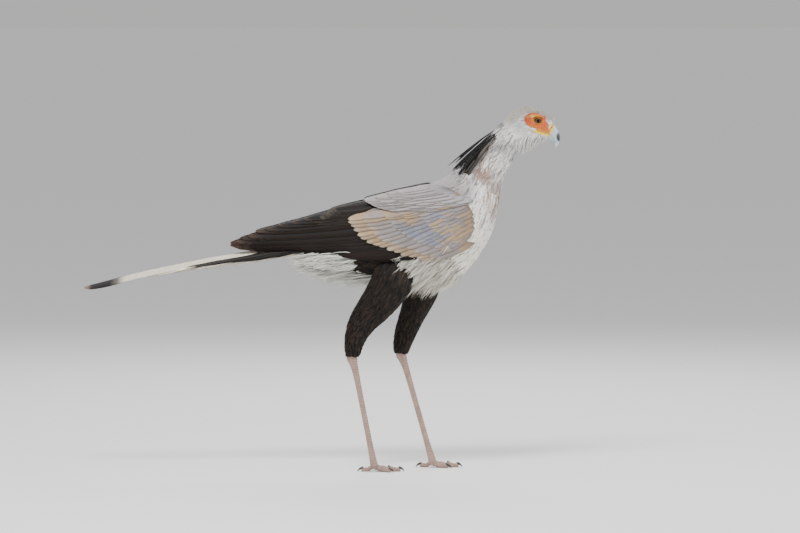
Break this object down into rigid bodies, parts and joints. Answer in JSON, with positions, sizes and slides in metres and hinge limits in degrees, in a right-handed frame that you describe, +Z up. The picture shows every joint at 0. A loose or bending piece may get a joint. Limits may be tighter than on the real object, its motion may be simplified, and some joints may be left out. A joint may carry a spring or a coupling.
{
  "type": "secretary bird",
  "caption": "Life-size secretary bird standing in mid-stride on two long bare legs, with folded wings, a drooping nape crest, a hooked bill and a very long tail.",
  "frame": {"origin": "on the ground, under the centre of the bounding box", "axes": "+X the way the bird faces, +Y its left side, +Z up"},
  "size_m": [1.2382, 0.2108, 0.9467],
  "materials": {
    "body_feathers": "soft white and pale grey feathers",
    "wing_feathers": "grey and buff coverts over black flight feathers",
    "tail_feathers": "grey feathers barred black and buff with pale tips",
    "leg_feathers": "black shaggy feathers",
    "face_skin": "bare orange skin",
    "cere": "smooth yellow cere and gape",
    "bill": "pale blue-grey horn",
    "eye": "wet dark eye",
    "scaled_skin": "scaled pinkish-grey skin",
    "claw": "worn dark horn"
  },
  "bodies": {
    "root": {"bill_lower": "bill", "bill_upper": "bill", "cere": "cere", "eye_left": "eye", "eye_right": "eye", "face_skin_left": "face_skin", "face_skin_right": "face_skin", "head": "body_feathers", "hind_toe_claw_left": "claw", "hind_toe_claw_right": "claw", "hind_toe_left": "scaled_skin", "hind_toe_right": "scaled_skin", "inner_toe_claw_left": "claw", "inner_toe_claw_right": "claw", "inner_toe_left": "scaled_skin", "inner_toe_right": "scaled_skin", "middle_toe_claw_left": "claw", "middle_toe_claw_right": "claw", "middle_toe_left": "scaled_skin", "middle_toe_right": "scaled_skin", "neck_lower": "body_feathers", "neck_upper": "body_feathers", "outer_toe_claw_left": "claw", "outer_toe_claw_right": "claw", "outer_toe_left": "scaled_skin", "outer_toe_right": "scaled_skin", "shank_left": "scaled_skin", "shank_right": "scaled_skin", "shin_left": "leg_feathers", "shin_right": "leg_feathers", "tail": "tail_feathers", "torso": "body_feathers", "wing_left": "wing_feathers", "wing_right": "wing_feathers"}
  },
  "joints": []
}
